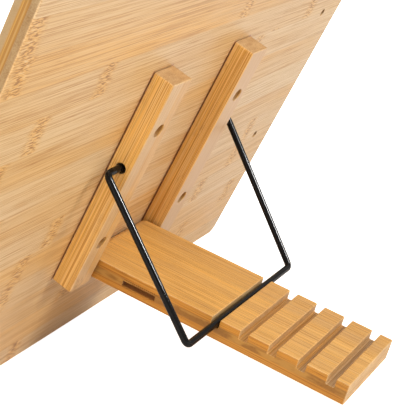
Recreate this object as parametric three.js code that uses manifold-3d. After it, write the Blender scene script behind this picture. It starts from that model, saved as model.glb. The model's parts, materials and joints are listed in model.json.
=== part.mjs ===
// Photo album stand: a bamboo board with a ledge for the album, held up from behind by a notched
// bamboo tongue and a steel wire bail. Millimetres, +Z up.
//
// The stand is laid out in the board's own frame, then leaned back on to the table:
// x runs to the side, y out of the board's back face, z up the board from its bottom edge.

import * as THREE from 'three';
import { mergeVertices } from 'three/addons/utils/BufferGeometryUtils.js';
import Module from 'manifold-3d';

const wasm = await Module();
wasm.setup();

const DEG = Math.PI / 180;

// ---------------------------------------------------------------- driving dimensions

const GAP = 0.3; // left between pieces that rest on each other
const STOCK = 12.6; // thickness of the rails, the tongue and the ledge

const BOARD = { width: 390, height: 280, thickness: 11.4, corner: 6, ease: 0.8 };
const SPARE_HOLE = { radius: 2.5, depth: 8, fromEdge: 28, heights: [98, 196.5] };

const RAIL = { width: 19.6, inner: 35.7, bottom: 61.7, top: 200.9, corner: 1.6, ease: 0.7 };
const SCREW = { headRadius: 3.6, shankRadius: 1.75, tipRadius: 0.3, length: 15, point: 3.5, sunk: 6 };
const SCREW_HEIGHTS = [94.3, 170.1];
const SCREW_CROWN = [[0, 2.1], [0.55, 2], [0.92, 1.4], [1, 0.6]]; // share of the head's radius, height
const SCREW_SLOT = { span: 3.8, width: 0.8, floor: 0.8 };
const SCREW_BORE = { headRadius: 4, shankRadius: 2.1, pastTip: 1 };

const PIN = { radius: 2.5, height: 68.5, inRail: 9, bore: 2.8, boreInRail: 9.6, ease: 0.4 };
const TONGUE = { width: 65.2, reach: 162.8, raise: 12.3 * DEG, ease: 0.5 };
const NOTCH = { first: 79.95, pitch: 17.57, count: 5, depth: 5.5, width: 5, corner: 0.5 };
const CORE_VOID = { start: 23.6, end: 44.7, below: 5.3, height: 3.2, depth: 7 };

const WIRE = { radius: 2, bend: 3, inRail: 11 };
const BAIL = { pivotHeight: 144.6, pivotX: 68.1, crossbarX: 64.65 }; // the legs close in a little
const BAIL_BORE = { radius: 3, depth: 12, outward: 0.4 }; // a loose hole: the wire lies low in it

const LEDGE = { length: 360, depth: 35, letIn: 1, ease: 0.8 }; // let into a housing in the board's front
const LIP = { height: 25, thickness: 7, ease: 1.2 };
const DOWEL = { radius: 3, inBoard: 7, inLedge: 20, bore: 3.3, slack: 0.5, ease: 0.6 };
const DOWEL_PLACES = [-150, -52, 52, 150];

const ROUND_SIDES = 24; // of drills and round bars
const BEND_STEPS = 8;

// ---------------------------------------------------------------- derived places

const half = STOCK / 2;
const hingeY = GAP + half; // both hinge axes run through the middle of the rails' thickness
const railCentreX = RAIL.inner + RAIL.width / 2;
const railOuterX = RAIL.inner + RAIL.width;
const railBackY = GAP + STOCK;
const housingFloorY = LEDGE.letIn - BOARD.thickness;
const ledgeBackY = housingFloorY - GAP;
const along = new THREE.Vector2(Math.cos(TONGUE.raise), Math.sin(TONGUE.raise)); // (y, z)
const across = new THREE.Vector2(-along.y, along.x);

/** The point of the board's (y, z) plane at a distance along and above the tongue's centre line. */
function onTongue(distance, rise) {
  const pin = new THREE.Vector2(hingeY, PIN.height);
  return pin.addScaledVector(along, distance).addScaledVector(across, rise);
}

// The crossbar is wedged against the first notch's outer wall and floor, less the gap.
const seat = WIRE.radius + GAP;
const crossbar = onTongue(NOTCH.first + NOTCH.width - seat, half - NOTCH.depth + seat);
const bailReach = crossbar.clone().sub(new THREE.Vector2(hingeY, BAIL.pivotHeight));
const foot = onTongue(TONGUE.reach - TONGUE.ease, -half);
const heel = new THREE.Vector2(-BOARD.ease, 0);
const lean = Math.atan2(foot.y - heel.y, foot.x - heel.x);

// ---------------------------------------------------------------- materials

const matte = (color, roughness) => new THREE.MeshStandardMaterial({ color, roughness, metalness: 0 });
const boardBamboo = matte(0xd6b48c, 0.62);
const railBamboo = matte(0xd9a566, 0.6);
const tongueBamboo = matte(0xdca661, 0.6);
const ledgeBamboo = matte(0xd8b083, 0.6);
const dowelWood = matte(0xd9bd92, 0.75);
const blackWire = new THREE.MeshStandardMaterial({ color: 0x0c0c0d, roughness: 0.22, metalness: 0.6 });
const bareSteel = new THREE.MeshStandardMaterial({ color: 0x9c9a94, roughness: 0.35, metalness: 1 });

// ---------------------------------------------------------------- solids

/** A closed geometry as a solid that can be joined and cut. */
function solidOf(geometry) {
  const bare = (geometry.index ? geometry.toNonIndexed() : geometry).clone();
  bare.deleteAttribute('normal');
  bare.deleteAttribute('uv');
  const merged = mergeVertices(bare, 1e-4);
  const vertProperties = new Float32Array(merged.attributes.position.array);
  const triVerts = new Uint32Array(merged.index.array);
  return new wasm.Manifold(new wasm.Mesh({ numProp: 3, vertProperties, triVerts }));
}

/** A solid's surface as a geometry. */
function geometryOf(solid) {
  const { vertProperties, triVerts } = solid.getMesh();
  const geometry = new THREE.BufferGeometry();
  geometry.setAttribute('position', new THREE.BufferAttribute(new Float32Array(vertProperties), 3));
  geometry.setIndex(new THREE.BufferAttribute(new Uint32Array(triVerts), 1));
  geometry.computeVertexNormals();
  return geometry;
}

/** The geometry with each of the tools cut out of it. */
function cut(geometry, tools) {
  return geometryOf(tools.reduce((body, tool) => body.subtract(solidOf(tool)), solidOf(geometry)));
}

/** A rectangle with round corners, centred on the origin. */
function roundedRectangle(width, height, corner) {
  const x = width / 2 - corner;
  const y = height / 2 - corner;
  const shape = new THREE.Shape();
  shape.absarc(x, y, corner, 0, 90 * DEG);
  shape.absarc(-x, y, corner, 90 * DEG, 180 * DEG);
  shape.absarc(-x, -y, corner, 180 * DEG, 270 * DEG);
  shape.absarc(x, -y, corner, 270 * DEG, 360 * DEG);
  shape.closePath();
  return shape;
}

/** An outline extruded to a thickness, centred along Z, with its two faces' edges eased. */
function easedPlate(shape, thickness, ease, curveSegments = 6) {
  const geometry = new THREE.ExtrudeGeometry(shape, {
    depth: thickness - 2 * ease,
    bevelThickness: ease,
    bevelSize: ease,
    bevelOffset: -ease,
    bevelSegments: 1,
    curveSegments,
  });
  return geometry.translate(0, 0, ease - thickness / 2);
}

/** A block with all its edges eased, its length along X, its depth along Y and its height along Z. */
function easedBlock(length, depth, height, ease) {
  return easedPlate(roundedRectangle(length, depth, ease), height, ease, 1);
}

/** A profile of radii and heights turned round the Y axis. */
function turned(profile) {
  return new THREE.LatheGeometry(profile.map(([r, y]) => new THREE.Vector2(r, y)), ROUND_SIDES);
}

/** A round bar along Y from y = 0, with eased ends. */
function roundBar(radius, length, ease) {
  const profile = [
    [0, 0],
    [radius - ease, 0],
    [radius, ease],
    [radius, length - ease],
    [radius - ease, length],
    [0, length],
  ];
  return turned(profile);
}

/** A drill along Y, from y = 0 to the depth and past the mouth at y = 0 by a millimetre. */
function drillY(radius, depth) {
  const reach = depth + 1;
  return new THREE.CylinderGeometry(radius, radius, reach, ROUND_SIDES).translate(0, reach / 2 - 1, 0);
}

/** The same drill along -Y. */
function drillBack(radius, depth) {
  return drillY(radius, depth).rotateZ(180 * DEG);
}

/** A drill centred on the origin along X. */
function drillX(radius, length) {
  return new THREE.CylinderGeometry(radius, radius, length, ROUND_SIDES).rotateZ(90 * DEG);
}

// ---------------------------------------------------------------- board

/** The shallow housing in the board's front that holds the ledge's back edge. */
function ledgeHousing() {
  const length = LEDGE.length + 2 * GAP;
  const height = STOCK + GAP;
  return new THREE.BoxGeometry(length, 2 * LEDGE.letIn, 2 * height).translate(0, -BOARD.thickness, 0);
}

function boardGeometry() {
  const outline = roundedRectangle(BOARD.width, BOARD.height, BOARD.corner);
  const plate = easedPlate(outline, BOARD.thickness, BOARD.ease);
  plate.rotateX(90 * DEG).translate(0, -BOARD.thickness / 2, BOARD.height / 2);
  const spareX = SPARE_HOLE.fromEdge - BOARD.width / 2;
  const spares = SPARE_HOLE.heights.map((z) =>
    drillBack(SPARE_HOLE.radius, SPARE_HOLE.depth).translate(spareX, 0, z));
  const pilots = screwPlaces().map(({ x, z }) =>
    drillBack(SCREW_BORE.shankRadius, pilotDepth()).translate(x, 0, z));
  const dowelBores = DOWEL_PLACES.map((x) =>
    drillY(DOWEL.bore, DOWEL.inBoard + DOWEL.slack).translate(x, housingFloorY, half));
  return cut(plate, [ledgeHousing(), ...spares, ...pilots, ...dowelBores]);
}

// ---------------------------------------------------------------- rails and their screws

function screwPlaces() {
  return [-railCentreX, railCentreX].flatMap((x) => SCREW_HEIGHTS.map((z) => ({ x, z })));
}

function pilotDepth() {
  return SCREW.length - (railBackY - SCREW.sunk) + SCREW_BORE.pastTip;
}

/** A rail on its own side of the board: side is 1 for the +X rail and -1 for the -X rail. */
function railGeometry(side) {
  const length = RAIL.top - RAIL.bottom;
  const bar = easedPlate(roundedRectangle(RAIL.width, length, RAIL.corner), STOCK, RAIL.ease, 3);
  bar.rotateX(90 * DEG).translate(side * railCentreX, hingeY, RAIL.bottom + length / 2);
  const screwBores = SCREW_HEIGHTS.flatMap((z) => [
    drillBack(SCREW_BORE.headRadius, SCREW.sunk).translate(side * railCentreX, railBackY, z),
    drillBack(SCREW_BORE.shankRadius, railBackY).translate(side * railCentreX, railBackY, z),
  ]);
  const bailBore = drillX(BAIL_BORE.radius, 2 * BAIL_BORE.depth);
  bailBore.translate(side * railOuterX, hingeY + BAIL_BORE.outward, BAIL.pivotHeight);
  const pinBore = drillX(PIN.bore, 2 * PIN.boreInRail).translate(side * RAIL.inner, hingeY, PIN.height);
  return cut(bar, [...screwBores, bailBore, pinBore]);
}

/** A cross-head wood screw pointing along +Y, with the underside of its head at y = 0. */
function screwGeometry() {
  const crown = SCREW_CROWN.map(([share, height]) => [share * SCREW.headRadius, -height]);
  const body = turned([
    ...crown,
    [SCREW.headRadius, 0],
    [SCREW.shankRadius, 0],
    [SCREW.shankRadius, SCREW.length - SCREW.point],
    [SCREW.tipRadius, SCREW.length],
    [0, SCREW.length],
  ]);
  const { span, width, floor } = SCREW_SLOT;
  const blades = [new THREE.BoxGeometry(span, span, width), new THREE.BoxGeometry(width, span, span)];
  return cut(body, blades.map((blade) => blade.translate(0, -floor - span / 2, 0)));
}

// ---------------------------------------------------------------- tongue

/** The tongue's side outline: x from the pin towards the free end, y up from the centre line. */
function tongueOutline() {
  const end = TONGUE.reach;
  const e = TONGUE.ease;
  const shape = new THREE.Shape();
  shape.absarc(0, 0, half, 90 * DEG, 270 * DEG);
  shape.lineTo(end - e, -half);
  shape.lineTo(end, -half + e);
  shape.lineTo(end, half - e);
  shape.lineTo(end - e, half);
  const floor = half - NOTCH.depth;
  const r = NOTCH.corner;
  for (let i = NOTCH.count - 1; i >= 0; i -= 1) {
    const near = NOTCH.first + i * NOTCH.pitch;
    const far = near + NOTCH.width;
    shape.lineTo(far, half);
    shape.lineTo(far, floor + r);
    shape.quadraticCurveTo(far, floor, far - r, floor);
    shape.lineTo(near + r, floor);
    shape.quadraticCurveTo(near, floor, near, floor + r);
    shape.lineTo(near, half);
  }
  shape.closePath();
  return shape;
}

/** A gap in the core ply, cut into the tongue's +X side. */
function coreVoid() {
  const length = CORE_VOID.end - CORE_VOID.start;
  const height = half - CORE_VOID.below - CORE_VOID.height / 2;
  const slot = new THREE.BoxGeometry(2 * CORE_VOID.depth, length, CORE_VOID.height);
  return slot.translate(TONGUE.width / 2, CORE_VOID.start + length / 2, height);
}

/** The tongue with its pin's axis on X, reaching along +Y. */
function tongueGeometry() {
  const plate = easedPlate(tongueOutline(), TONGUE.width, TONGUE.ease, 10);
  const toSide = new THREE.Matrix4().makeBasis(
    new THREE.Vector3(0, 1, 0),
    new THREE.Vector3(0, 0, 1),
    new THREE.Vector3(1, 0, 0),
  );
  plate.applyMatrix4(toSide);
  return cut(plate, [drillX(PIN.bore, TONGUE.width + 2), coreVoid()]);
}

function pinGeometry() {
  const length = 2 * (RAIL.inner + PIN.inRail);
  return roundBar(PIN.radius, length, PIN.ease).rotateZ(-90 * DEG).translate(-length / 2, 0, 0);
}

// ---------------------------------------------------------------- bail

/** Points joined by straight stretches, with one step of the curve to each stretch. */
class Polyline extends THREE.Curve {
  constructor(points) {
    super();
    this.points = points;
  }

  getPoint(t) {
    const at = t * (this.points.length - 1);
    const i = Math.min(Math.floor(at), this.points.length - 2);
    return this.points[i].clone().lerp(this.points[i + 1], at - i);
  }

  getUtoTmapping(u) {
    return u;
  }
}

/** The points of a round bend in place of the corner between two straight stretches. */
function bend(before, corner, after) {
  const back = before.clone().sub(corner).normalize();
  const onward = after.clone().sub(corner).normalize();
  const turn = Math.PI - back.angleTo(onward);
  const toCentre = back.clone().add(onward).setLength(WIRE.bend / Math.cos(turn / 2));
  const centre = corner.clone().add(toCentre);
  const tangent = WIRE.bend * Math.tan(turn / 2);
  const start = corner.clone().addScaledVector(back, tangent).sub(centre);
  const finish = corner.clone().addScaledVector(onward, tangent).sub(centre);
  return Array.from({ length: BEND_STEPS + 1 }, (_, i) => {
    const angle = (turn * i) / BEND_STEPS;
    const spoke = start.clone().multiplyScalar(Math.sin(turn - angle));
    return spoke.addScaledVector(finish, Math.sin(angle)).divideScalar(Math.sin(turn)).add(centre);
  });
}

/** The bail with its pivot's axis on X, its legs towards +Y and its ends turned in to the rails. */
function bailGeometry() {
  const end = railOuterX - WIRE.inRail;
  const reach = bailReach.length();
  const outline = [
    [end, 0],
    [BAIL.pivotX, 0],
    [BAIL.crossbarX, reach],
    [-BAIL.crossbarX, reach],
    [-BAIL.pivotX, 0],
    [-end, 0],
  ].map(([x, y]) => new THREE.Vector3(x, y, 0));
  const last = outline.length - 1;
  const bends = outline.slice(1, last).flatMap((corner, i) => bend(outline[i], corner, outline[i + 2]));
  const path = new Polyline([outline[0], ...bends, outline[last]]);
  const section = new THREE.Shape().absarc(0, 0, WIRE.radius, 0, 360 * DEG);
  const steps = path.points.length - 1;
  return new THREE.ExtrudeGeometry(section, { steps, curveSegments: 8, extrudePath: path });
}

// ---------------------------------------------------------------- ledge

function ledgeGeometry() {
  const centreY = ledgeBackY - LEDGE.depth / 2;
  const block = easedBlock(LEDGE.length, LEDGE.depth, STOCK, LEDGE.ease).translate(0, centreY, half);
  const bores = DOWEL_PLACES.map((x) =>
    drillBack(DOWEL.bore, DOWEL.inLedge + DOWEL.slack).translate(x, ledgeBackY, half));
  return cut(block, bores);
}

function lipGeometry() {
  const centreY = ledgeBackY - LEDGE.depth - GAP - LIP.thickness / 2;
  const block = easedBlock(LEDGE.length, LIP.thickness, LIP.height, LIP.ease);
  return block.translate(0, centreY, LIP.height / 2);
}

function dowelGeometry(x) {
  const length = DOWEL.inBoard + GAP + DOWEL.inLedge;
  return roundBar(DOWEL.radius, length, DOWEL.ease).translate(x, ledgeBackY - DOWEL.inLedge, half);
}

// ---------------------------------------------------------------- assembly

function named(name, geometry, material) {
  const mesh = new THREE.Mesh(geometry, material);
  mesh.name = name;
  return mesh;
}

const board = new THREE.Group();
board.rotation.x = -lean;
board.add(named('back_board', boardGeometry(), boardBamboo));
board.add(named('left_rail', railGeometry(1), railBamboo));
board.add(named('right_rail', railGeometry(-1), railBamboo));
board.add(named('front_ledge', ledgeGeometry(), ledgeBamboo));
board.add(named('ledge_lip', lipGeometry(), ledgeBamboo));
DOWEL_PLACES.forEach((x, i) => {
  board.add(named(`ledge_dowel_${i + 1}`, dowelGeometry(x), dowelWood));
});
screwPlaces().forEach(({ x, z }, i) => {
  const screw = named(`rail_screw_${i + 1}`, screwGeometry(), bareSteel);
  screw.rotation.z = 180 * DEG;
  screw.position.set(x, railBackY - SCREW.sunk + GAP, z);
  board.add(screw);
});

const tongue = new THREE.Group();
tongue.position.set(0, hingeY, PIN.height);
tongue.rotation.x = TONGUE.raise;
tongue.add(named('support_tongue', tongueGeometry(), tongueBamboo));
tongue.add(named('hinge_pin', pinGeometry(), bareSteel));
board.add(tongue);

const bail = new THREE.Group();
bail.position.set(0, hingeY, BAIL.pivotHeight);
bail.rotation.x = bailReach.angle() - 360 * DEG;
bail.add(named('wire_bail', bailGeometry(), blackWire));
board.add(bail);

const stand = new THREE.Group();
stand.add(board);

// The origin is under the middle of the stand, on the table that it rests on.
stand.updateMatrixWorld(true);
const box = new THREE.Box3().setFromObject(stand, true);
board.position.set(0, -(box.min.y + box.max.y) / 2, -box.min.z);

export default stand;
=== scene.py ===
"""Photo album stand: bamboo board, rails, notched tongue and ledge, with a black wire bail.

The pieces are laid out in millimetres in the frames of the bodies that they belong to. The board's
frame has x to the side, y out of the board's back face and z up the board from its bottom edge. The
tongue's and the bail's frames start at their hinges, with y along the piece.
"""

import json
import math

import bmesh
import bpy
from mathutils import Matrix, Vector


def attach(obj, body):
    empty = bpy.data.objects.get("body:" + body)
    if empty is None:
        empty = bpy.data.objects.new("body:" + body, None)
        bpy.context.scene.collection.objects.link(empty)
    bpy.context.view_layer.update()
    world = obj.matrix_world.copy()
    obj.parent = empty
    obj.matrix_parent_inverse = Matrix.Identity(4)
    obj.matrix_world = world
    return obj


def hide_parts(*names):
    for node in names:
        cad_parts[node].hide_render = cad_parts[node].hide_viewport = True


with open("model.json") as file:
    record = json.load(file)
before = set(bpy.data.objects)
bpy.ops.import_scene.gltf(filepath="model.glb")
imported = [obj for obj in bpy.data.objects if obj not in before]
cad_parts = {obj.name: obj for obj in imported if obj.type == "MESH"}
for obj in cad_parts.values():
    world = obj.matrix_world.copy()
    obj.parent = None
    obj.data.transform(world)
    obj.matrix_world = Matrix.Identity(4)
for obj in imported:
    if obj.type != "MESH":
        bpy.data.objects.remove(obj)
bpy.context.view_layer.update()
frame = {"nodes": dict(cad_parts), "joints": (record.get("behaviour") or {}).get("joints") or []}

MM = 0.001

# ---------------------------------------------------------------- dimensions, as in the CAD model

GAP = 0.3
STOCK = 12.6
HALF = STOCK / 2
PLY = STOCK / 3

BOARD = {"width": 390, "height": 280, "corner": 6, "ease": 1.37}
BOARD_THICKNESS = 11.4
BOARD_PLY = BOARD_THICKNESS / 3
SPARE_HOLES = {"radius": 2.5, "depth": 8, "x": -167, "heights": (98, 196.5)}

RAIL = {"width": 19.6, "inner": 35.7, "bottom": 61.7, "top": 200.9, "corner": 1.6, "ease": 0.7}
SCREW = {"head": 3.6, "shank": 1.75, "length": 15, "sunk": 6, "heights": (94.3, 170.1)}
SCREW_HOLE = {"radius": 4, "pilot": 2.1, "in_board": 9.1}

PIN = {"height": 68.5, "bore": 2.8, "in_rail": 9.6}
TONGUE = {"width": 65.2, "reach": 162.8, "raise": math.radians(12.3), "ease": 0.4, "tip": 0.6}
NOTCH = {"first": 79.95, "pitch": 17.57, "count": 5, "depth": 5.5, "width": 5, "ease": 0.4, "fillet": 0.5}
CORE_VOID = {"start": 23.6, "end": 44.7, "below": 5.3, "height": 3.2, "depth": 7}

WIRE = {"radius": 2, "bend": 3, "in_rail": 11}
BAIL = {"height": 144.6, "pivot_x": 68.1, "crossbar_x": 64.65}
BAIL_BORE = {"radius": 3, "depth": 12, "outward": 0.4}
SEAT = WIRE["radius"] + GAP

LEDGE = {"length": 360, "depth": 35, "let_in": 1, "corner": 0.9, "ease": 0.8}
LIP = {"height": 25, "thickness": 7, "corner": 2.1, "ease": 2.06}
DOWEL_BORE = {"radius": 3.3, "in_board": 7.5, "in_ledge": 20.5, "places": (-150, -52, 52, 150)}

# ---------------------------------------------------------------- the bodies' frames

hinges = {joint["name"]: Vector(joint["pos_m"]) for joint in frame["joints"]}


def frame_at(origin, along):
    """A frame with its y axis along a direction in the row's YZ plane, and x to the side."""
    along = along.normalized()
    side = Vector((1, 0, 0))
    up = side.cross(along)
    turn = Matrix((side, along, up)).transposed().to_4x4()
    return Matrix.Translation(origin) @ turn


HINGE_Y = GAP + HALF
up_the_board = (hinges["bail_hinge"] - hinges["tongue_hinge"]).normalized()
out_of_board = up_the_board.cross(Vector((1, 0, 0)))
heel = hinges["tongue_hinge"] - (up_the_board * PIN["height"] + out_of_board * HINGE_Y) * MM
board_frame = frame_at(heel, out_of_board)
tongue_along = out_of_board * math.cos(TONGUE["raise"]) + up_the_board * math.sin(TONGUE["raise"])
tongue_frame = frame_at(hinges["tongue_hinge"], tongue_along)
notch_corner = Vector((0, NOTCH["first"] + NOTCH["width"], HALF - NOTCH["depth"]))
crossbar = tongue_frame @ ((notch_corner + Vector((0, -SEAT, SEAT))) * MM)
bail_leg = crossbar - hinges["bail_hinge"]
bail_frame = frame_at(hinges["bail_hinge"], bail_leg)

RAIL_X = RAIL["inner"] + RAIL["width"] / 2
RAIL_BACK = GAP + STOCK
HOUSING_FLOOR = LEDGE["let_in"] - BOARD_THICKNESS
LEDGE_BACK = HOUSING_FLOOR - GAP

# ---------------------------------------------------------------- mesh building


def mesh_object(name, points, faces, place):
    """A mesh object in the row frame, from points in millimetres in the frame of its place."""
    mesh = bpy.data.meshes.new(name)
    mesh.from_pydata([place @ (Vector(p) * MM) for p in points], [], faces)
    build = bmesh.new()
    build.from_mesh(mesh)
    bmesh.ops.remove_doubles(build, verts=build.verts, dist=1e-7)
    bmesh.ops.recalc_face_normals(build, faces=build.faces)
    build.to_mesh(mesh)
    build.free()
    made = bpy.data.objects.new(name, mesh)
    bpy.context.scene.collection.objects.link(made)
    return made


def arc(centre, radius, start, end, steps):
    """Points round an arc, from one angle in degrees to another."""
    for i in range(steps + 1):
        angle = math.radians(start + (end - start) * i / steps)
        yield (centre[0] + radius * math.cos(angle), centre[1] + radius * math.sin(angle))


def round_rectangle(width, height, corner, steps=8):
    """A rectangle centred on the origin, with round corners, anticlockwise."""
    x, y = width / 2 - corner, height / 2 - corner
    corners = ((x, y, 0), (-x, y, 90), (-x, -y, 180), (x, -y, 270))
    return [p for cx, cy, a in corners for p in arc((cx, cy), corner, a, a + 90, steps)]


def inset(outline, distance):
    """An anticlockwise outline moved inwards by a distance, with mitred corners."""
    moved = []
    for i, here in enumerate(outline):
        before, after = Vector(outline[i - 1]), Vector(outline[(i + 1) % len(outline)])
        here = Vector(here)
        first, second = (here - before).normalized(), (after - here).normalized()
        inward = Vector((-first.y, first.x)) + Vector((-second.y, second.x))
        inward /= max(inward.length_squared / 2, 0.2)
        moved.append(here + inward * distance)
    return moved


def eased_prism(name, outline, thickness, ease, place, steps=4):
    """An outline in x and y with a thickness along z, centred on z = 0, and its two rims rounded."""
    rings = []
    for side in (-1, 1):
        levels = [(math.sin(math.pi / 2 * i / steps), 1 - math.cos(math.pi / 2 * i / steps))
                  for i in range(steps + 1)]
        half = []
        for rise, pull in levels:
            z = side * (thickness / 2 - ease + ease * rise)
            half.append([(*p, z) for p in inset(outline, ease * pull)])
        rings += half[::-1] if side < 0 else half
    count = len(outline)
    points = [p for ring in rings for p in ring]
    faces = [list(range(count))[::-1], [count * (len(rings) - 1) + i for i in range(count)]]
    for level in range(len(rings) - 1):
        low, high = count * level, count * (level + 1)
        for i in range(count):
            j = (i + 1) % count
            faces.append([low + i, low + j, high + j, high + i])
    return mesh_object(name, points, faces, place)


def turned(name, profile, place, sides=48):
    """A profile of radii and heights turned round z, from a point on the axis to another."""
    points, faces = [], []
    for radius, z in profile:
        for i in range(sides):
            angle = 2 * math.pi * i / sides
            points.append((radius * math.cos(angle), radius * math.sin(angle), z))
    for level in range(len(profile) - 1):
        for i in range(sides):
            j = (i + 1) % sides
            low, high = sides * level, sides * (level + 1)
            faces.append([low + i, low + j, high + j, high + i])
    faces += [list(range(sides))[::-1], [sides * (len(profile) - 1) + i for i in range(sides)]]
    return mesh_object(name, points, faces, place)


def block(name, low, high, place):
    """A plain block between two corners, for cutting."""
    xs, ys, zs = zip(low, high)
    points = [(x, y, z) for x in xs for y in ys for z in zs]
    faces = [(0, 1, 3, 2), (4, 6, 7, 5), (0, 4, 5, 1), (2, 3, 7, 6), (0, 2, 6, 4), (1, 5, 7, 3)]
    return mesh_object(name, points, faces, place)


def drill(radius, depth, place, flare=0.25):
    """A round cutter that enters at z = 0 and goes down -z, with a softened mouth and floor."""
    profile = [
        (0, -depth),
        (radius - 0.4, -depth),
        (radius, -depth + 0.4),
        (radius, -flare),
        (radius + flare * 0.3, -flare * 0.35),
        (radius + flare, 0),
        (radius + flare, 1),
        (0, 1),
    ]
    return turned("cutter", profile, place)


def aim(position, direction):
    """A place in millimetres with its z axis along a direction."""
    turn = Vector(direction).to_track_quat("Z", "Y").to_matrix().to_4x4()
    return Matrix.Translation(Vector(position) * MM) @ turn


def cut(piece, cutters):
    """The piece with the cutters taken out of it."""
    for cutter in cutters:
        modifier = piece.modifiers.new("cut", "BOOLEAN")
        modifier.operation = "DIFFERENCE"
        modifier.solver = "EXACT"
        modifier.object = cutter
    settle(piece)
    for cutter in cutters:
        bpy.data.objects.remove(cutter)
    return piece


def settle(piece):
    """Makes the piece's modifiers part of its mesh."""
    bpy.context.view_layer.update()
    shape = piece.evaluated_get(bpy.context.evaluated_depsgraph_get())
    mesh = bpy.data.meshes.new_from_object(shape)
    piece.modifiers.clear()
    old = piece.data
    piece.data = mesh
    bpy.data.meshes.remove(old)
    mesh.name = piece.name


def smooth(piece, angle=34):
    """Smooth shading with flat faces kept flat and edges past the angle kept sharp."""
    piece.data.shade_smooth()
    piece.data.set_sharp_from_angle(angle=math.radians(angle))
    modifier = piece.modifiers.new("flat_faces", "WEIGHTED_NORMAL")
    modifier.keep_sharp = True
    modifier.weight = 100
    return piece


def sweep(name, path, radius, place, sides=28):
    """A round wire along a path, with flat ends. radius gives the wire's radius at each point."""
    points, faces = [], []
    normal = Vector((0, 0, 1))
    for i, here in enumerate(path):
        tangent = (path[min(i + 1, len(path) - 1)] - path[max(i - 1, 0)]).normalized()
        normal = (normal - tangent * normal.dot(tangent)).normalized()
        other = tangent.cross(normal)
        for s in range(sides):
            angle = 2 * math.pi * s / sides
            points.append(here + (normal * math.cos(angle) + other * math.sin(angle)) * radius(i))
    for i in range(len(path) - 1):
        for s in range(sides):
            t = (s + 1) % sides
            faces.append([i * sides + s, i * sides + t, (i + 1) * sides + t, (i + 1) * sides + s])
    last = (len(path) - 1) * sides
    faces += [list(range(sides))[::-1], [last + s for s in range(sides)]]
    return mesh_object(name, points, faces, place)


# ---------------------------------------------------------------- shader nodes


class Field:
    """A value that varies over a surface, with arithmetic that makes the shader's math nodes."""

    def __init__(self, paint, socket):
        self.paint = paint
        self.socket = socket

    def math(self, operation, *others):
        """The result of a math node on this field and the others."""
        node = self.paint.node("ShaderNodeMath", operation=operation)
        for socket, value in zip(node.inputs, (self, *others)):
            self.paint.set(socket, value)
        return Field(self.paint, node.outputs[0])

    def __add__(self, other):
        return self.math("ADD", other)

    def __sub__(self, other):
        return self.math("SUBTRACT", other)

    def __rsub__(self, other):
        return self.math("MULTIPLY", -1).math("ADD", other)

    def __mul__(self, other):
        return self.math("MULTIPLY", other)

    def __truediv__(self, other):
        return self.math("DIVIDE", other)

    def floor(self):
        return self.math("FLOOR")

    def fract(self):
        return self.math("FRACT")

    def abs(self):
        return self.math("ABSOLUTE")

    def least(self, other):
        return self.math("MINIMUM", other)

    def most(self, other):
        return self.math("MAXIMUM", other)

    def step(self, low, high):
        """Runs smoothly from 0 at low to 1 at high."""
        node = self.paint.node("ShaderNodeMapRange", interpolation_type="SMOOTHSTEP")
        if low > high:
            low, high = high, low
            node.inputs["To Min"].default_value, node.inputs["To Max"].default_value = 1, 0
        self.paint.set(node.inputs["Value"], self)
        node.inputs["From Min"].default_value = low
        node.inputs["From Max"].default_value = high
        return Field(self.paint, node.outputs[0])

    def colours(self, *stops, interpolation="LINEAR"):
        """The colours of a ramp, given as (place, colour) stops."""
        node = self.paint.node("ShaderNodeValToRGB")
        ramp = node.color_ramp
        ramp.interpolation = interpolation
        while len(ramp.elements) < len(stops):
            ramp.elements.new(0.5)
        for element, (place, colour) in zip(ramp.elements, stops):
            element.position = place
            element.color = (*colour, 1)
        self.paint.set(node.inputs[0], self)
        return node.outputs[0]

    def level(self, *stops):
        """A number that changes in steps, given as (place, number from 0 to 1) stops."""
        greys = [(place, (number, number, number)) for place, number in stops]
        return Field(self.paint, self.colours(*greys, interpolation="CONSTANT"))


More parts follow.
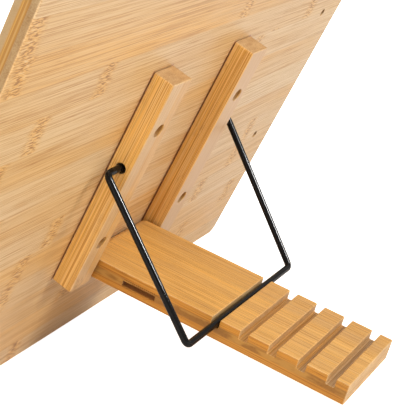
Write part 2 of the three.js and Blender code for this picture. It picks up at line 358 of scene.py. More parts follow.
class Paint:
    """A material made of nodes, for pieces laid out in one of the bodies' frames."""

    def __init__(self, name, own_frame=None):
        self.from_row = (own_frame or Matrix()).inverted()
        self.material = bpy.data.materials.new(name)
        self.material.use_nodes = True
        self.nodes = self.material.node_tree.nodes
        self.links = self.material.node_tree.links
        self.shader = self.nodes["Principled BSDF"]
        self.made = 0

    def node(self, kind, **settings):
        """A new node with its settings, laid out in columns of eight."""
        node = self.nodes.new(kind)
        self.made += 1
        node.location = (-180 * (1 + self.made // 8), -160 * (self.made % 8))
        for key, value in settings.items():
            setattr(node, key, value)
        return node

    def set(self, socket, value):
        """Links a field or a socket to an input, or sets a plain value on it."""
        if isinstance(value, Field):
            self.links.new(value.socket, socket)
        elif isinstance(value, bpy.types.NodeSocket):
            self.links.new(value, socket)
        else:
            socket.default_value = value

    def own(self, output, kind, scale):
        """A texture coordinate in the piece's own frame, as three fields."""
        coordinates = self.node("ShaderNodeTexCoord")
        turn = self.node("ShaderNodeMapping", vector_type=kind)
        self.links.new(coordinates.outputs[output], turn.inputs["Vector"])
        turn.inputs["Rotation"].default_value = self.from_row.to_euler()
        turn.inputs["Scale"].default_value = (scale, scale, scale)
        if kind == "POINT":
            turn.inputs["Location"].default_value = self.from_row.translation * scale
        split = self.node("ShaderNodeSeparateXYZ")
        self.links.new(turn.outputs[0], split.inputs[0])
        return [Field(self, s) for s in split.outputs]

    def place(self):
        """The point's place in the piece's own frame, in millimetres."""
        return self.own("Object", "POINT", 1 / MM)

    def facing(self):
        """How far the surface faces along each of the piece's own axes, from 0 to 1."""
        return [along.abs() for along in self.own("Normal", "VECTOR", 1)]

    def noise(self, x, y, z, detail=2.0, roughness=0.5):
        """Noise from 0 to 1 about 0.5, with features of size 1 in the fields that are given."""
        vector = self.node("ShaderNodeCombineXYZ")
        for socket, value in zip(vector.inputs, (x, y, z)):
            self.set(socket, value)
        noise = self.node("ShaderNodeTexNoise")
        self.links.new(vector.outputs[0], noise.inputs["Vector"])
        noise.inputs["Scale"].default_value = 1
        noise.inputs["Detail"].default_value = detail
        noise.inputs["Roughness"].default_value = roughness
        return Field(self, noise.outputs[0])

    def chance(self, cell, seed):
        """A number from 0 to 1 for each whole value of a field."""
        noise = self.node("ShaderNodeTexWhiteNoise", noise_dimensions="1D")
        self.set(noise.inputs["W"], cell + seed)
        return Field(self, noise.outputs["Value"])

    def mix(self, first, second, share, blend="MIX"):
        """The first colour blended into the second by a share from 0 to 1."""
        node = self.node("ShaderNodeMix", data_type="RGBA", blend_type=blend)
        self.set(node.inputs["Factor"], share)
        colour_in = [s for s in node.inputs if s.type == "RGBA"]
        for socket, value in zip(colour_in, (first, second)):
            self.set(socket, (*value, 1) if isinstance(value, tuple) else value)
        return [s for s in node.outputs if s.type == "RGBA"][0]

    def bump(self, height, distance):
        """Relief on the shader: how far, in millimetres, the surface rises where the height is 1."""
        node = self.node("ShaderNodeBump")
        self.set(node.inputs["Height"], height)
        node.inputs["Distance"].default_value = distance * MM
        self.links.new(node.outputs[0], self.shader.inputs["Normal"])


def near_edge(place, centre, half):
    """The distance in millimetres to the nearest edge of a block, from a point on its surface."""
    x, y, z = (h - (p - c).abs() for p, c, h in zip(place, centre, half))
    return x.least(y).most(x.most(y).least(z))


# ---------------------------------------------------------------- bamboo

PALE = (0.635, 0.45, 0.245)
TAN = (0.59, 0.365, 0.155)
ORANGE = (0.66, 0.345, 0.08)
AMBER = (0.83, 0.44, 0.09)
STREAK = (0.36, 0.155, 0.03)
# dark brown for the nodes' dashes and the core's knots, also used as painted shade in the screw holes
NODE_AND_HOLE_SHADE_BROWN = (0.28, 0.12, 0.035)
END_BROWN = (0.36, 0.188, 0.058)
# dark red-brown for the rails' seams: partly glue, partly painted shade in the gap
GLUE_AND_SHADE_BROWN = (0.30, 0.05, 0.015)
# dark red-brown used as painted shade inside the gap in the tongue's core ply
VOID_SHADE_BROWN = (0.24, 0.07, 0.03)
# pale rosy tone: a painted sheen on faces turned like the board's back
PAINTED_SHEEN_ROSY = (0.52, 0.31, 0.155)
RUST = (0.44, 0.165, 0.025)
HONEY = (0.80, 0.52, 0.20)
# multiplied on the rails' end faces as painted shade
PAINTED_END_SHADE = (0.94, 0.86, 0.74)
# multiplied on the board's side edges as painted shade
PAINTED_EDGE_SHADE = (0.59, 0.55, 0.48)
# multiplied on the tongue's sides as painted shade
PAINTED_SIDE_SHADE = (0.68, 0.52, 0.21)
# paler edge tone: partly wear, partly a painted highlight
WEAR_AND_HIGHLIGHT_TONE = (0.70, 0.47, 0.23)

# Where each of the board's strips starts, up the board, and a node's place along it. The starts, and the
# places in the rows from 57 to 97 and from 177 to 237, were set from a program's printout, which took
# points of the photo through the fitted camera. They are rounded or averaged. The rest are guesses.
BOARD_NODES = (
    (0, 60), (17, -120), (37, 30), (57, 104), (77, 102), (97, 84), (117, 150),
    (137, 12), (157, -50), (177, 150), (197, 107), (217, 186), (237, 189), (257, 40),
)


def bamboo_layer(paint, grain, across, through, strip=20.0, seed=0.0, warm=0.0, nodes=1.0,
                 streaks=1.0, node_at=None):
    """The colour and height of bamboo strips side by side. Returns (colour, height).

    node_at places one node of each strip along the grain, in millimetres; else they lie by chance.
    """
    wander = paint.noise(grain * (1 / 90), through * 0.02, seed, detail=1.0) - 0.5
    lane = (across + wander * 1.2) * (1 / strip) + seed
    index = lane.floor()
    share = lane.fract()
    tone = paint.chance(index, seed + 1.5)
    phase = paint.chance(index, seed + 8.5)

    broad = paint.noise(grain * (1 / 150), across * (1 / 16), index * 3.1 + through * 0.05, detail=2.0)
    mid = paint.noise(grain * (1 / 95), across * (1 / 1.2), through * (1 / 1.5) + index * 5.7, detail=3.0)
    fine = paint.noise(grain * (1 / 85), across * (1 / 0.55), through * (1 / 0.6) + seed, detail=2.0)

    pitch = phase * 60 + 190
    ripple = (paint.noise(across * 0.25, through * 0.25, seed + 4.0, detail=2.0) - 0.5) * 9
    first = phase * 700 if node_at is None else node_at * -1 + pitch / 2
    along = (grain + ripple + first) / pitch
    off_node = (along.fract() - 0.5).abs() * pitch
    band = off_node.step(9.0, 1.5) * nodes
    dashes = paint.noise(grain * (1 / 4.2), across * (1 / 0.8), through * (1 / 0.8) + seed, detail=2.0)

    warmth = broad * 0.55 + tone * 0.42 + warm
    colour = warmth.colours((0.20, PALE), (0.50, TAN), (0.75, ORANGE), (1.0, AMBER))
    fibre = (mid - 0.5).abs().step(0.028, 0.006)
    dark = (mid.step(0.54, 0.64) * 0.16 + fine.step(0.52, 0.56) * 0.46 + fibre * 0.42) * streaks
    colour = paint.mix(colour, STREAK, dark)
    light = fine.step(0.47, 0.42) * 0.35
    colour = paint.mix(colour, PALE, light)
    colour = paint.mix(colour, ORANGE, band * 0.5)
    colour = paint.mix(colour, NODE_AND_HOLE_SHADE_BROWN, band * dashes.step(0.50, 0.58) * 0.78)
    colour = paint.mix(colour, PALE, band * dashes.step(0.44, 0.34) * 0.7)
    joint = ((share - 0.5).abs() * strip).step(strip / 2 - 0.28, strip / 2 - 0.02)
    colour = paint.mix(colour, STREAK, joint * 0.30)
    height = fine * 0.5 + mid * 0.6 + band * dashes * 0.9 - joint * 0.35
    return colour, height


def end_grain(paint, colour, ends, grain, across, through, depth=0.6):
    """Browns and roughens the surface where it cuts across the fibres."""
    pores = paint.noise(grain * 0.15, across * 1.7, through * 1.7, detail=3.0, roughness=0.65)
    patches = paint.noise(grain * 0.02, across * 0.11, through * 0.3, detail=3.0)
    shade = paint.mix(END_BROWN, PALE, pores.step(0.30, 0.62) * 0.5 + patches.step(0.35, 0.65) * 0.5)
    return paint.mix(colour, shade, ends * depth), pores


def finish(paint, colour, height, edge, depth=0.05, gloss=0.40, ends=None):
    """Joins colour, gloss, wear and a painted highlight along the edges, and relief in the shader."""
    place = paint.place()
    smudge = paint.noise(*(p * (1 / 34) for p in place), detail=2.0)
    rub = paint.noise(*(p * (1 / 5) for p in place), detail=3.0)
    # paler along the edges: partly wear, partly a painted highlight
    wear_and_highlight = (edge + (rub - 0.5) * 1.1).step(0.75, 0.15)
    colour = paint.mix(colour, WEAR_AND_HIGHLIGHT_TONE, wear_and_highlight * 0.38)
    rough = smudge * 0.16 + height * 0.10 + (gloss - 0.11) + wear_and_highlight * 0.08
    if ends is not None:
        rough = rough + ends * 0.16
    paint.set(paint.shader.inputs["Base Color"], colour)
    paint.set(paint.shader.inputs["Roughness"], rough)
    paint.shader.inputs["IOR"].default_value = 1.5
    paint.shader.inputs["Specular IOR Level"].default_value = 0.5
    paint.shader.inputs["Coat Weight"].default_value = 0.1
    paint.shader.inputs["Coat Roughness"].default_value = 0.25
    paint.bump(height, depth)
    return paint.material


def board_bamboo():
    """Three plies: the faces' grain runs along x, and the core's up the board."""
    paint = Paint("board_bamboo", board_frame)
    x, y, z = paint.place()
    fx, fy, fz = paint.facing()
    width, tall = BOARD["width"], BOARD["height"]
    stops = [(start / tall, (node + width / 2) / width) for start, node in BOARD_NODES]
    node_at = (z * (1 / tall)).level(*stops) * width - width / 2
    face, face_height = bamboo_layer(paint, x, z, y, strip=20, seed=0.15, warm=-0.06, nodes=1.15,
                                     node_at=node_at)
    core, core_height = bamboo_layer(paint, z, x, y, strip=24, seed=3.2, warm=0.45, nodes=0.3)
    in_core = (y + BOARD_THICKNESS / 2).abs().step(BOARD_PLY / 2 + 0.12, BOARD_PLY / 2 - 0.12)
    back = y.step(-7, -5)
    edge_on = fx.step(0.75, 0.95)
    face = paint.mix(face, PALE, edge_on * (back * -0.6 + 0.75))
    face, _ = end_grain(paint, face, edge_on, x, z, y, depth=back * 0.5 + 0.05)
    core, pores = end_grain(paint, core, fz.step(0.75, 0.95), z, x, y)
    colour = paint.mix(face, core, in_core)
    # painted shade: the board's side edges are darkened
    colour = paint.mix(colour, PAINTED_EDGE_SHADE, edge_on, "MULTIPLY")
    # a dark line on the board along each rail's sides: partly glue, partly painted shade in the gap
    glue_and_shade_seam = ((x.abs() - RAIL_X).abs() - RAIL["width"] / 2).abs().step(0.55, 0.3) * y.step(-0.6, -0.2)
    glue_and_shade_seam = glue_and_shade_seam * z.step(RAIL["bottom"] - 0.6, RAIL["bottom"]) * z.step(RAIL["top"] + 0.6, RAIL["top"])
    colour = paint.mix(colour, GLUE_AND_SHADE_BROWN, glue_and_shade_seam * 0.9)
    glue = ((y + BOARD_THICKNESS / 2).abs() - BOARD_PLY / 2).abs().step(0.16, 0.04)
    sides = fx.most(fz).step(0.6, 0.9)
    colour = paint.mix(colour, STREAK, glue * sides * 0.3)
    height = face_height * (in_core * -1 + 1) + core_height * in_core + pores * sides
    centre, half = (0, -BOARD_THICKNESS / 2, tall / 2), (width / 2, BOARD_THICKNESS / 2, tall / 2)
    edge = near_edge((x, y, z), centre, half)
    return finish(paint, colour, height, edge, ends=sides)


def rail_bamboo():
    """Long grain up the rail in thin layers, with end grain at its ends."""
    paint = Paint("rail_bamboo", board_frame)
    x, y, z = paint.place()
    fx, fy, fz = paint.facing()
    side = paint.node("ShaderNodeMath", operation="SIGN")
    paint.set(side.inputs[0], x)
    hand = Field(paint, side.outputs[0])
    colour, height = bamboo_layer(paint, z, x, y + hand * 13, strip=19.6, seed=0.72, streaks=1.1)
    flanks = fx.step(0.5, 0.9)
    flank, flank_height = bamboo_layer(paint, z, y, x * 0.25 + hand * 31, strip=PLY, seed=2.3,
                                       warm=0.7, nodes=0.4)
    lines = paint.noise(z * (1 / 160), y * (1 / 0.42), hand * 7.0, detail=2.0)
    threads = paint.noise(z * (1 / 220), y * (1 / 0.8), hand * 3.0, detail=1.0)
    flank = paint.mix(flank, RUST, threads.step(0.60, 0.63) * 0.25)
    flank = paint.mix(flank, HONEY, threads.step(0.39, 0.36) * 0.25)
    flank = paint.mix(flank, RUST, lines.step(0.52, 0.56) * (y.step(4.0, 8.0) * 0.45 + 0.25))
    flank = paint.mix(flank, HONEY, lines.step(0.48, 0.44) * (y.step(4.0, 8.0) * 0.4 + 0.2))
    # painted sheen: the rails' back faces are tinted pale rosy, more on the right rail than the left
    colour = paint.mix(colour, PAINTED_SHEEN_ROSY, fy.step(0.6, 0.9) * (hand * -0.22 + 0.55))
    colour = paint.mix(colour, flank, flanks)
    # the rail's lower edge darkened next to the board: partly glue, partly painted shade
    colour = paint.mix(colour, GLUE_AND_SHADE_BROWN, y.step(0.85, 0.5) * 0.85)
    low_screw, high_screw = SCREW["heights"]
    off_x = x.abs() - RAIL_X
    off_z = (z - (low_screw + high_screw) / 2).abs() - (high_screw - low_screw) / 2
    off_hole = off_x * off_x + off_z * off_z
    # painted shade: the walls of the screw holes are darkened
    hole_shade = off_hole.step(18.5, 17) * y.step(RAIL_BACK - 0.2, RAIL_BACK - 0.9)  # radii of 4.3 and 4.1
    colour = paint.mix(colour, NODE_AND_HOLE_SHADE_BROWN, hole_shade * 0.55)
    colour, pores = end_grain(paint, colour, fz.step(0.8, 0.97), z, x, y)
    # painted shade: the rails' end faces are darkened and warmed
    colour = paint.mix(colour, PAINTED_END_SHADE, fz.step(0.8, 0.97), "MULTIPLY")
    middle = (RAIL["bottom"] + RAIL["top"]) / 2
    centre = (hand * RAIL_X, HINGE_Y, middle)
    edge = near_edge((x, y, z), centre, (RAIL["width"] / 2, HALF, RAIL["top"] - middle))
    height = height * (flanks * -1 + 1) + (flank_height + lines * 0.8) * flanks + pores * fz * 0.6
    return finish(paint, colour, height, edge, ends=fz.step(0.8, 0.97))


def tongue_bamboo():
    """Three plies: the outer ones' grain runs along the tongue, and the core's across it."""
    paint = Paint("tongue_bamboo", tongue_frame)
    x, y, z = paint.place()
    fx, fy, fz = paint.facing()
    ply, ply_height = bamboo_layer(paint, y, x * 1.5, z * 1.5, strip=32, seed=5.4, warm=0.34, nodes=0.15,
                                    streaks=1.2)
    core, core_height = bamboo_layer(paint, x, y, z, strip=22, seed=1.9, warm=0.2, nodes=0.2)
    in_core = z.abs().step(PLY / 2 + 0.15, PLY / 2 - 0.15)
    patch = paint.noise(y * (1 / 13), z * 0.3, 3.7, detail=2.0)
    knots = paint.noise(x * 0.1, y * (1 / 1.6), z * (1 / 0.9), detail=3.0, roughness=0.6)
    core_end = paint.mix(TAN, END_BROWN, patch.step(0.40, 0.60) * 0.85)
    core_end = paint.mix(core_end, NODE_AND_HOLE_SHADE_BROWN, knots.step(0.50, 0.72) * patch.step(0.42, 0.60) * 0.6)
    core = paint.mix(core, core_end, fx.step(0.7, 0.95))
    ply, pores = end_grain(paint, ply, fy.step(0.7, 0.95), y, x, z)
    colour = paint.mix(ply, core, in_core)
    # painted shade: the tongue's two sides are darkened
    colour = paint.mix(colour, PAINTED_SIDE_SHADE, fx.step(0.7, 0.95), "MULTIPLY")
    sides = fx.most(fy).step(0.6, 0.9)
    glue = (z.abs() - PLY / 2).abs().step(0.17, 0.04)
    colour = paint.mix(colour, STREAK, glue * sides * 0.7)
    start, end, top = CORE_VOID["start"], CORE_VOID["end"], HALF - CORE_VOID["below"]
    # painted shade: the inside of the gap in the core ply is darkened
    void_shade = x.step(TONGUE["width"] / 2 - 0.2, TONGUE["width"] / 2 - 1.5)
    void_shade = void_shade * y.step(start - 0.5, start) * y.step(end + 0.5, end)
    floor = top - CORE_VOID["height"]
    void_shade = void_shade * z.step(top + 0.2, top) * z.step(floor - 0.2, floor)
    colour = paint.mix(colour, VOID_SHADE_BROWN, void_shade * 0.65)
    height = ply_height * (in_core * -1 + 1) + (core_height + knots * 0.7) * in_core
    height = height + pores * sides * 0.5
    half = (TONGUE["width"] / 2, (TONGUE["reach"] + HALF) / 2, HALF)
    edge = near_edge((x, y, z), (0, (TONGUE["reach"] - HALF) / 2, 0), half)
    return finish(paint, colour, height, edge, ends=sides)


def ledge_bamboo():
    """Long grain along x, with strips across the depth, and end grain at the two ends."""
    paint = Paint("ledge_bamboo", board_frame)
    x, y, z = paint.place()
    fx, fy, fz = paint.facing()
    colour, height = bamboo_layer(paint, x, y, z, strip=18, seed=6.1, warm=0.08)
    colour, pores = end_grain(paint, colour, fx.step(0.75, 0.95), x, y, z)
    front = LEDGE_BACK - LEDGE["depth"]
    reach = LEDGE["length"] / 2
    ledge_half = (reach, LEDGE["depth"] / 2, HALF)
    ledge = near_edge((x, y, z), (0, (LEDGE_BACK + front) / 2, HALF), ledge_half)
    lip_half = (reach, LIP["thickness"] / 2, LIP["height"] / 2)
    lip = near_edge((x, y, z), (0, front - GAP - LIP["thickness"] / 2, LIP["height"] / 2), lip_half)
    on_lip = y.step(front - 0.1, front - 0.2)
    edge = ledge * (on_lip * -1 + 1) + lip * on_lip
    return finish(paint, colour, height + pores * fx, edge, ends=fx.step(0.75, 0.95))


def dowel_wood():
    """Plain long grain along the dowels, without nodes, and without edge wear or the painted edge
    highlight.
    """
    paint = Paint("dowel_wood", board_frame)
    x, y, z = paint.place()
    fx, fy, fz = paint.facing()
    colour, height = bamboo_layer(paint, y, x, z, strip=40, seed=7.7, nodes=0.0)
    colour, pores = end_grain(paint, colour, fy.step(0.7, 0.95), y, x, z)
    return finish(paint, colour, height + pores, x * 0 + 5, gloss=0.6)


def black_wire():
    """Gloss black enamel on steel wire, finely uneven, with duller patches and rubs on its bends."""
    paint = Paint("black_wire", bail_frame)
    x, y, z = paint.place()
    orange_peel = paint.noise(x * 0.9, y * 0.9, z * 0.9, detail=2.0)
    dust = paint.noise(x * 0.12, y * 0.12, z * 0.12, detail=3.0)
    bend_x = (x.abs() - BAIL["crossbar_x"]).abs().step(5.0, 1.0)
    rubbed = bend_x * y.abs().step(9.0, 3.0) * paint.noise(x, y, z, detail=3.0).step(0.48, 0.7)
    colour = dust.colours((0.3, (0.003, 0.0026, 0.0026)), (0.7, (0.006, 0.0052, 0.005)))
    colour = paint.mix(colour, (0.03, 0.026, 0.022), rubbed * 0.5)
    paint.set(paint.shader.inputs["Base Color"], colour)
    paint.set(paint.shader.inputs["Roughness"], dust * 0.04 + rubbed * 0.12 + 0.04)
    paint.shader.inputs["IOR"].default_value = 1.5
    paint.shader.inputs["Specular IOR Level"].default_value = 0.18
    paint.bump(orange_peel + rubbed * 0.5, 0.002)
    return paint.material


def steel(name, colour, scratches):
    """Steel with fine marks, closest together along the axis that has the largest number."""
    paint = Paint(name)
    x, y, z = paint.place()
    marks = paint.noise(x * scratches[0], y * scratches[1], z * scratches[2], detail=3.0)
    stain = paint.noise(x * 0.3, y * 0.3, z * 0.3, detail=3.0)
    tone = (stain * 0.6 + marks * 0.4).colours((0.3, tuple(c * 0.55 for c in colour)), (0.7, colour))
    paint.set(paint.shader.inputs["Base Color"], tone)
    paint.set(paint.shader.inputs["Roughness"], marks * 0.25 + stain * 0.15 + 0.15)
    paint.shader.inputs["Metallic"].default_value = 1
    paint.bump(marks, 0.02)
    return paint.material


# ---------------------------------------------------------------- pieces


def stand_in_for(piece, body, slot, material, *nodes):
    """Rides the piece on its body in place of its CAD nodes, with its material."""
    piece.data.materials.clear()
    piece.data.materials.append(material)
    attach(piece, body)
    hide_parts(*nodes)
    return piece


def on_board(x, y, z):
    """A place in the board's frame: its x and y are the board's x and z, and its z the board's y."""
    basis = Matrix(((1, 0, 0), (0, 0, 1), (0, 1, 0))).to_4x4()
    return board_frame @ Matrix.Translation(Vector((x, y, z)) * MM) @ basis


def make_board(material):
    """The board, with its spare holes, pilot holes, and the ledge's housing and dowel bores."""
    outline = round_rectangle(BOARD["width"], BOARD["height"], BOARD["corner"])
    middle = on_board(0, -BOARD_THICKNESS / 2, BOARD["height"] / 2)
    piece = eased_prism("back_panel", outline, BOARD_THICKNESS, BOARD["ease"], middle)
    cutters = []
    for z in SPARE_HOLES["heights"]:
        place = board_frame @ aim((SPARE_HOLES["x"], 0, z), (0, 1, 0))
        cutters.append(drill(SPARE_HOLES["radius"], SPARE_HOLES["depth"], place, flare=0.2))
    for x in (-RAIL_X, RAIL_X):
        for z in SCREW["heights"]:
            place = board_frame @ aim((x, 0, z), (0, 1, 0))
            cutters.append(drill(SCREW_HOLE["pilot"], SCREW_HOLE["in_board"], place, flare=0.1))
    reach = LEDGE["length"] / 2 + GAP
    low, high = (-reach, -BOARD_THICKNESS - 2, -STOCK), (reach, HOUSING_FLOOR, STOCK + GAP)
    cutters.append(block("housing", low, high, board_frame))
    for x in DOWEL_BORE["places"]:
        place = board_frame @ aim((x, HOUSING_FLOOR, HALF), (0, -1, 0))
        cutters.append(drill(DOWEL_BORE["radius"], DOWEL_BORE["in_board"], place, flare=0.1))
    smooth(cut(piece, cutters))
    return stand_in_for(piece, "stand", "board_bamboo", material, "back_board")


def make_rail(name, side, material, node):
    """A rail, with its screw holes and the blind bores for the wire's end and the hinge pin's.

    Known fault: on rail_right the cuts leave a skin across the mouth of the bore for the wire.
    """
    length = RAIL["top"] - RAIL["bottom"]
    place = on_board(side * RAIL_X, HINGE_Y, RAIL["bottom"] + length / 2)
    outline = round_rectangle(RAIL["width"], length, RAIL["corner"])
    piece = eased_prism(name, outline, STOCK, RAIL["ease"], place)
    cutters = []
    for z in SCREW["heights"]:
        mouth = board_frame @ aim((side * RAIL_X, RAIL_BACK, z), (0, 1, 0))
        cutters.append(drill(SCREW_HOLE["radius"], SCREW["sunk"], mouth, flare=0.35))
        cutters.append(drill(SCREW_HOLE["pilot"], RAIL_BACK, mouth, flare=0))
    bore = (side * (RAIL["inner"] + RAIL["width"]), HINGE_Y + BAIL_BORE["outward"], BAIL["height"])
    mouth = board_frame @ aim(bore, (side, 0, 0))
    cutters.append(drill(BAIL_BORE["radius"], BAIL_BORE["depth"], mouth, flare=0.2))
    pin = (side * RAIL["inner"], HINGE_Y, PIN["height"])
    mouth = board_frame @ aim(pin, (-side, 0, 0))
    cutters.append(drill(PIN["bore"], PIN["in_rail"], mouth, flare=0.2))
    smooth(cut(piece, cutters))
    return stand_in_for(piece, "stand", "rail_bamboo", material, node)


def tongue_outline():
    """The tongue's side, anticlockwise: x from the hinge to the free end, y up from its middle."""
    points = list(arc((0, 0), HALF, 90, 270, 24))
    end, tip = TONGUE["reach"], TONGUE["tip"]
    points += list(arc((end - tip, -HALF + tip), tip, 270, 360, 4))
    points += list(arc((end - tip, HALF - tip), tip, 0, 90, 4))
    floor = HALF - NOTCH["depth"]
    ease, fillet = NOTCH["ease"], NOTCH["fillet"]
    for i in reversed(range(NOTCH["count"])):
        near = NOTCH["first"] + i * NOTCH["pitch"]
        far = near + NOTCH["width"]
        points += [(far + ease, HALF), (far, HALF - ease)]
        points += list(arc((far - fillet, floor + fillet), fillet, 0, -90, 4))
        points += list(arc((near + fillet, floor + fillet), fillet, 270, 180, 4))
        points += [(near, HALF - ease), (near - ease, HALF)]
    return points


def make_tongue(material):
    """The tongue, with its pin's bore, and the gap and the crack at its core ply."""
    basis = Matrix(((0, 0, 1), (1, 0, 0), (0, 1, 0))).to_4x4()
    piece = eased_prism("notched_tongue", tongue_outline(), TONGUE["width"], TONGUE["ease"],
                        tongue_frame @ basis, steps=3)
    edge = TONGUE["width"] / 2
    low = HALF - CORE_VOID["below"] - CORE_VOID["height"]
    high = low + CORE_VOID["height"]
    start, end = CORE_VOID["start"], CORE_VOID["end"]
    void = block("void", (edge - CORE_VOID["depth"], start, low), (edge + 1, end, high), tongue_frame)
    crack_low, crack_high = PLY / 2 - 0.12, PLY / 2 + 0.12
    crack_from, crack_to = (edge - 2.5, start - 1.5, crack_low), (edge + 1, end + 3, crack_high)
    crack = block("crack", crack_from, crack_to, tongue_frame)
    profile = [(0, -edge - 2), (PIN["bore"], -edge - 2), (PIN["bore"], edge + 2), (0, edge + 2)]
    bore = turned("bore", profile, tongue_frame @ aim((0, 0, 0), (1, 0, 0)))
    smooth(cut(piece, [bore, void, crack]))
    return stand_in_for(piece, "tongue", "tongue_bamboo", material, "support_tongue")


def round_bend(before, corner, after, radius, steps=14):
    """The points of a round bend in place of a corner, in order from the first stretch."""
    back, onward = (before - corner).normalized(), (after - corner).normalized()
    turn = math.pi - back.angle(onward)
    centre = corner + (back + onward).normalized() * (radius / math.cos(turn / 2))
    tangent = radius * math.tan(turn / 2)
    start, stop = corner + back * tangent - centre, corner + onward * tangent - centre
    found = []
    for i in range(steps + 1):
        angle = turn * i / steps
        spoke = (start * math.sin(turn - angle) + stop * math.sin(angle)) / math.sin(turn)
        found.append(centre + spoke)
    return found


def make_bail(material):
    """The wire, from its end in one rail round the crossbar to its end in the other."""
    reach = bail_leg.length / MM
    end = RAIL["inner"] + RAIL["width"] - WIRE["in_rail"]
    corners = [(end, 0), (BAIL["pivot_x"], 0), (BAIL["crossbar_x"], reach)]
    corners += [(-x, y) for x, y in reversed(corners)]
    corners = [Vector((x, y, 0)) for x, y in corners]
    chamfer = Vector((0.3, 0, 0))
    path, bent = [corners[0], corners[0] + chamfer], [0, 0]
    for before, corner, after in zip(corners, corners[1:], corners[2:]):
        bend = round_bend(before, corner, after, WIRE["bend"])
        path += bend
        bent += [math.sin(math.pi * i / (len(bend) - 1)) for i in range(len(bend))]
    path += [corners[-1] - chamfer, corners[-1]]
    bent += [0, 0]
    last = len(path) - 1

    def radius(i):
        """The ends are chamfered, and the bends are drawn a little thinner."""
        return WIRE["radius"] * (0.8 if i in (0, last) else 1 - 0.03 * bent[i])

    piece = sweep("wire_loop", path, radius, bail_frame)
    smooth(piece, 50)
    return stand_in_for(piece, "bail", "black_wire", material, "wire_bail")


def make_ledge(material):
    """The shelf on the board's front, with its dowel bores."""
    centre = LEDGE_BACK - LEDGE["depth"] / 2
    outline = round_rectangle(LEDGE["length"], LEDGE["depth"], LEDGE["corner"], steps=4)
    place = board_frame @ Matrix.Translation(Vector((0, centre, HALF)) * MM)
    piece = eased_prism("album_ledge", outline, STOCK, LEDGE["ease"], place)
    mouths = [board_frame @ aim((x, LEDGE_BACK, HALF), (0, 1, 0)) for x in DOWEL_BORE["places"]]
    bores = [drill(DOWEL_BORE["radius"], DOWEL_BORE["in_ledge"], mouth, flare=0.1) for mouth in mouths]
    smooth(cut(piece, bores))
    return stand_in_for(piece, "stand", "ledge_bamboo", material, "front_ledge")


def make_lip(material):
    """The strip along the ledge's front that keeps the album on it."""
    centre = LEDGE_BACK - LEDGE["depth"] - GAP - LIP["thickness"] / 2
    outline = round_rectangle(LEDGE["length"], LIP["thickness"], LIP["corner"], steps=4)
    place = board_frame @ Matrix.Translation(Vector((0, centre, LIP["height"] / 2)) * MM)
    piece = eased_prism("album_lip", outline, LIP["height"], LIP["ease"], place)
    smooth(piece)
    return stand_in_for(piece, "stand", "ledge_bamboo", material, "ledge_lip")


def make_screw(number, x, z, material):
    """A cross-head wood screw, with its threads as rings and its recess cut in."""
    head, shank, length = SCREW["head"], SCREW["shank"], SCREW["length"]
    profile = [(0, 2.1), (head * 0.3, 2.08), (head * 0.6, 1.95), (head * 0.85, 1.6)]
    profile += [(head * 0.96, 1.2), (head, 0.7), (head * 0.98, 0.12), (head * 0.94, 0)]
    profile += [(shank * 0.8, 0), (shank * 0.8, -3)]
    depth, pitch = 3.0, 0.9
    while depth < length - 3.5:
        profile += [(shank, -depth - pitch / 2), (shank * 0.72, -depth - pitch)]
        depth += pitch
    profile += [(shank * 0.6, -depth - 0.6), (shank * 0.1, -length), (0, -length)]
    base = (x, RAIL_BACK - SCREW["sunk"] + GAP, z)
    place = board_frame @ aim(base, (0, 1, 0))
    piece = turned(f"cross_head_screw_{number}", profile[::-1], place, sides=32)
    blades = [block("blade", (-half_x, -half_y, 0.8), (half_x, half_y, 3), place)
              for half_x, half_y in ((1.9, 0.4), (0.4, 1.9))]
    smooth(cut(piece, blades))
    return stand_in_for(piece, "stand", "screw_steel", material, f"rail_screw_{number}")


bamboo = {
    "board": board_bamboo(),
    "rail": rail_bamboo(),
    "tongue": tongue_bamboo(),
    "ledge": ledge_bamboo(),
}
screw_steel = steel("screw_steel", (0.62, 0.6, 0.55), (2, 2, 6))
pin_steel = steel("pin_steel", (0.55, 0.54, 0.52), (6, 1, 1))
dowels = dowel_wood()

make_board(bamboo["board"])
make_rail("rail_left", 1, bamboo["rail"], "left_rail")
make_rail("rail_right", -1, bamboo["rail"], "right_rail")
make_tongue(bamboo["tongue"])
make_bail(black_wire())
make_ledge(bamboo["ledge"])
make_lip(bamboo["ledge"])
screw_places = [(x, z) for x in (-RAIL_X, RAIL_X) for z in SCREW["heights"]]
for number, (x, z) in enumerate(screw_places, 1):
    make_screw(number, x, z, screw_steel)

for name, node in frame["nodes"].items():
    if name.startswith("ledge_dowel") or name == "hinge_pin":
        for slot in node.material_slots:
            slot.material = pin_steel if name == "hinge_pin" else dowels

# ---------------------------------------------------------------- camera, light and floor


def soft_light(name, towards, distance, size, power):
    """A round light that shines on the stand's middle from a direction."""
    light = bpy.data.lights.new(name, "AREA")
    light.shape = "DISK"
    light.size = size
    light.energy = power
    lamp = bpy.data.objects.new(name, light)
    bpy.context.scene.collection.objects.link(lamp)
    middle = Vector((0, 0, 0.12))
    lamp.location = middle + Vector(towards).normalized() * distance
    lamp.rotation_euler = (lamp.location - middle).to_track_quat("Z", "Y").to_euler()
    return lamp


def make_camera():
    """The camera at the photograph's viewing angle, from a fit to points and edges of the stand."""
    lens = bpy.data.cameras.new("camera")
    lens.lens = 111.48
    lens.sensor_width = 36
    camera = bpy.data.objects.new("camera", lens)
    bpy.context.scene.collection.objects.link(camera)
    forward = Vector((-0.84430, -0.44443, -0.29940)).normalized()
    right = Vector((-0.45913, 0.88806, -0.02349))
    right = (right - forward * right.dot(forward)).normalized()
    up = right.cross(forward)
    turn = Matrix((right, up, -forward)).transposed().to_4x4()
    camera.matrix_world = Matrix.Translation((0.6009, 0.3403, 0.2995)) @ turn
    bpy.context.scene.camera = camera


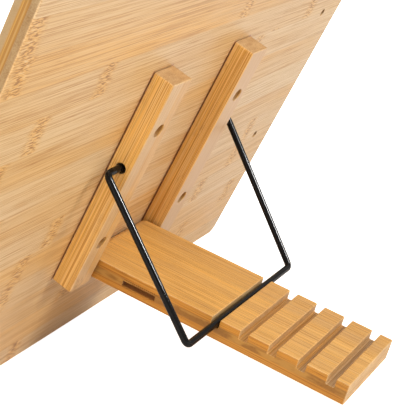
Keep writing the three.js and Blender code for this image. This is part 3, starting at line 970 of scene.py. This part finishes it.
def make_floor():
    """A plain pale floor, which glows more to the camera than it does to the stand."""
    half = 4.0
    points = [(-half, -half, 0), (half, -half, 0), (half, half, 0), (-half, half, 0)]
    mesh = bpy.data.meshes.new("floor")
    mesh.from_pydata(points, [], [(0, 1, 2, 3)])
    floor = bpy.data.objects.new("floor", mesh)
    bpy.context.scene.collection.objects.link(floor)
    paint = Paint("floor")
    paint.shader.inputs["Base Color"].default_value = (0.86, 0.86, 0.86, 1)
    paint.shader.inputs["Roughness"].default_value = 0.9
    paint.shader.inputs["Emission Color"].default_value = (1, 1, 1, 1)
    seen = paint.node("ShaderNodeLightPath")
    glow = paint.node("ShaderNodeMapRange")
    glow.inputs["To Min"].default_value = 0.1
    glow.inputs["To Max"].default_value = 0.9
    paint.links.new(seen.outputs["Is Camera Ray"], glow.inputs["Value"])
    paint.links.new(glow.outputs[0], paint.shader.inputs["Emission Strength"])
    mesh.materials.append(paint.material)


def make_world():
    """An even surround: plain white to the camera, and dimmer and slightly warm to the stand."""
    world = bpy.data.worlds.new("surround")
    bpy.context.scene.world = world
    world.use_nodes = True
    nodes, links = world.node_tree.nodes, world.node_tree.links
    background = nodes["Background"]
    path = nodes.new("ShaderNodeLightPath")
    tint = nodes.new("ShaderNodeMix")
    tint.data_type = "RGBA"
    tint_in = [s for s in tint.inputs if s.type == "RGBA"]
    tint_in[0].default_value, tint_in[1].default_value = (1, 0.97, 0.92, 1), (1, 1, 1, 1)
    links.new(path.outputs["Is Camera Ray"], tint.inputs["Factor"])
    links.new([s for s in tint.outputs if s.type == "RGBA"][0], background.inputs["Color"])
    strength = nodes.new("ShaderNodeMapRange")
    strength.inputs["To Min"].default_value = 0.55
    strength.inputs["To Max"].default_value = 1.1
    links.new(path.outputs["Is Camera Ray"], strength.inputs["Value"])
    links.new(strength.outputs[0], background.inputs["Strength"])


make_camera()
make_world()
make_floor()
soft_light("key", (-0.072, 0.894, 0.441), 2.0, 0.62, 24)
fill = soft_light("fill", (0.96, 0.08, 0.27), 2.2, 1.4, 32)
fill.visible_glossy = False
soft_light("front", (-0.15, -0.9, 0.5), 2.4, 1.4, 22)
glint = soft_light("glint", (-0.22, 0.92, 0.31), 2.0, 0.3, 34)
glint.visible_diffuse = False
bpy.context.scene.view_settings.view_transform = "Standard"
